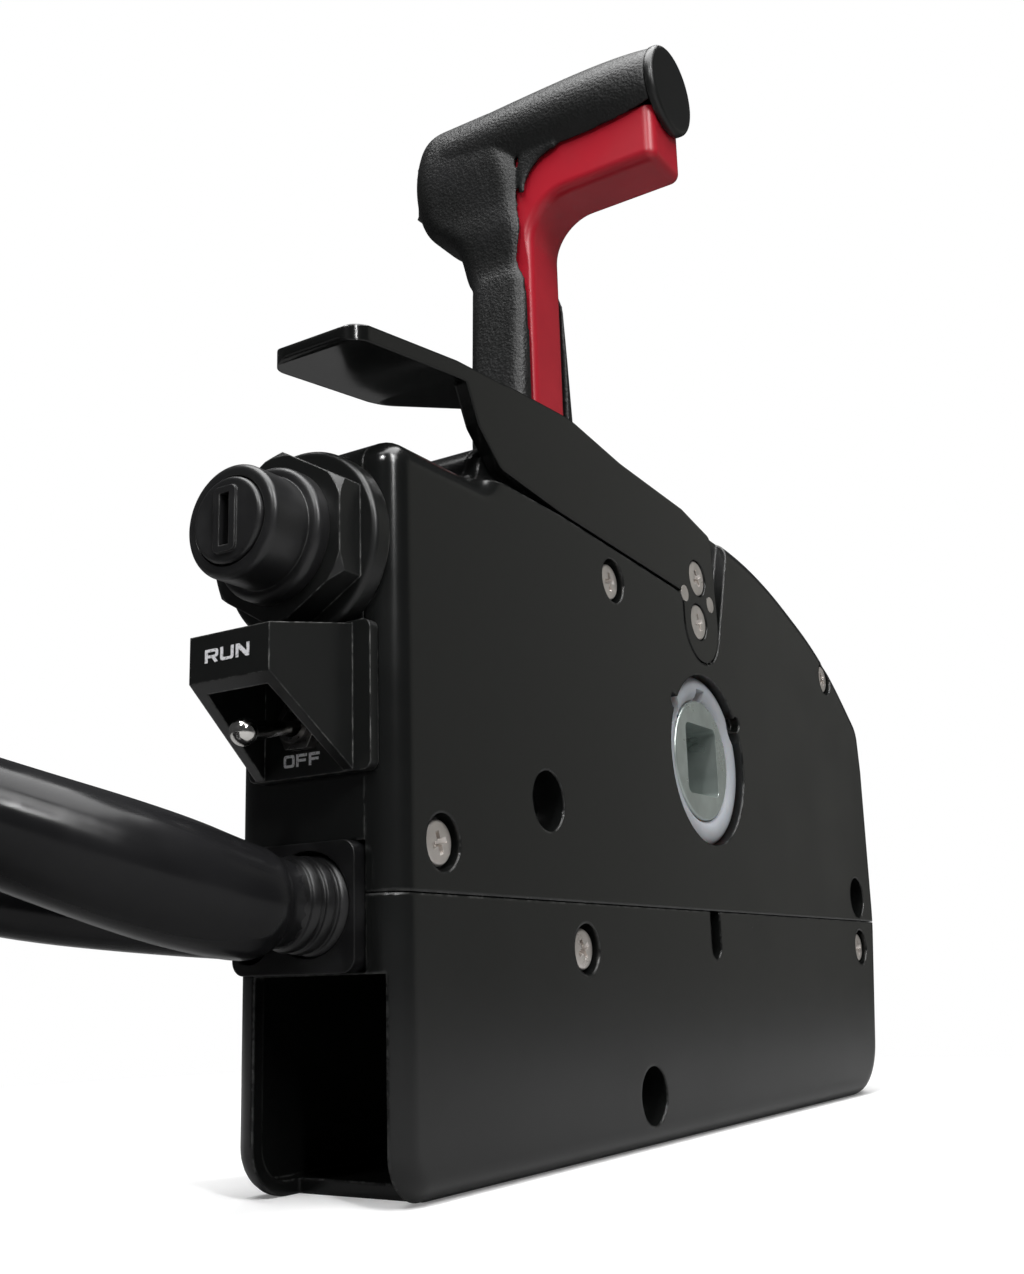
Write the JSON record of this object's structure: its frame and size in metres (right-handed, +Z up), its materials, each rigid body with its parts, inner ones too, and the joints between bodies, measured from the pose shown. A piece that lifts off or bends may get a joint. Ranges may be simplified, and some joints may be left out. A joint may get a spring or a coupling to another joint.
{
  "type": "boat throttle control lever",
  "caption": "Side-mount remote control box for a boat: throttle and shift handle with a lock trigger, fast idle lever, key switch, guarded stop switch and wiring harness.",
  "frame": {"origin": "bottom centre of the control's box, cords left out", "axes": "+X towards the rear of the case, +Y towards the operator, +Z up"},
  "size_m": [0.6282, 0.1819, 0.3324],
  "materials": {
    "case_black": "gloss",
    "cover_black": "gloss",
    "front_black": "satin",
    "grip_black": "grained",
    "cap_black": "satin",
    "arm_black": "gloss",
    "lever_black": "gloss",
    "trigger_red": "satin",
    "nylon_white": "satin",
    "shaft_grey": "machined",
    "gear_steel": "machined",
    "screw_steel": "polished",
    "toggle_chrome": "polished",
    "rubber_black": "satin",
    "vinyl_black": "gloss",
    "plug_black": "satin"
  },
  "bodies": {
    "case": {"main_housing": "case_black", "upper_cover": "cover_black", "lower_cover": "cover_black", "cover_screws": "screw_steel", "near_bushing": "nylon_white", "far_bushing": "nylon_white", "lock_ring": "gear_steel", "shift_stud": "gear_steel", "detent_leaf": "gear_steel", "cable_anchor": "front_black", "cable_retainer": "gear_steel", "key_body": "front_black", "key_nut": "front_black", "key_collar": "rubber_black", "switch_guard": "front_black", "toggle_body": "toggle_chrome", "toggle_nut": "toggle_chrome", "harness_grommet": "rubber_black", "harness": "vinyl_black", "harness_hank": "vinyl_black", "harness_tail": "vinyl_black", "harness_plug": "plug_black", "gauge_lead": "vinyl_black", "lead_plug": "plug_black"},
    "handle": {"main_shaft": "shaft_grey", "drive_gear": "gear_steel", "throttle_lever": "gear_steel", "detent_wheel": "gear_steel", "handle_arm": "arm_black", "handle_bolt": "screw_steel", "grip_shell": "grip_black", "end_cap": "cap_black", "trim_bezel": "front_black"},
    "trigger": {"lock_trigger": "trigger_red", "lock_pin": "gear_steel", "trigger_spring": "gear_steel"},
    "trim": {"trim_rocker": "front_black"},
    "shift": {"shift_sector": "gear_steel"},
    "idle": {"idle_lever": "lever_black", "idle_crank": "gear_steel", "lever_screws": "screw_steel", "lever_pins": "screw_steel"},
    "key": {"key_rotor": "rubber_black"},
    "toggle": {"toggle_lever": "toggle_chrome"}
  },
  "joints": [
    {"name": "handle_swing", "type": "hinge", "parent": "case", "child": "handle", "pos_m": [0.0172, 0.003, 0.1004], "axis": [0, 1, 0], "range_deg": [-50, 80]},
    {"name": "trigger_lift", "type": "slide", "parent": "handle", "child": "trigger", "axis": [0, 0, 1], "range_m": [0, 0.0055], "stiffness_N_per_m": 500, "springref_m": -0.008, "deforming": ["trigger_spring"]},
    {"name": "trim_rock", "type": "hinge", "parent": "handle", "child": "trim", "pos_m": [0.0172, 0.0431, 0.31], "axis": [1, 0, 0], "range_deg": [-6, 6], "stiffness_Nm_per_rad": 0.3},
    {"name": "shift_turn", "type": "hinge", "parent": "case", "child": "shift", "pos_m": [0.08202, -0.034, 0.06906], "axis": [0, 1, 0], "range_deg": [-41, 26]},
    {"name": "idle_lift", "type": "hinge", "parent": "case", "child": "idle", "pos_m": [0.0179, -0.045, 0.1404], "axis": [0, 1, 0], "range_deg": [0, 15]},
    {"name": "key_turn", "type": "hinge", "parent": "case", "child": "key", "pos_m": [-0.15, -0.02575, 0.129], "axis": [1, 0, 0], "range_deg": [0, 80]},
    {"name": "toggle_throw", "type": "hinge", "parent": "case", "child": "toggle", "pos_m": [-0.133, -0.026, 0.0915], "axis": [0, 1, 0], "range_deg": [0, 19.5]}
  ],
  "couplings": [
    {"joint": "shift_turn", "follows": "handle_swing", "ratio": -0.5}
  ]
}
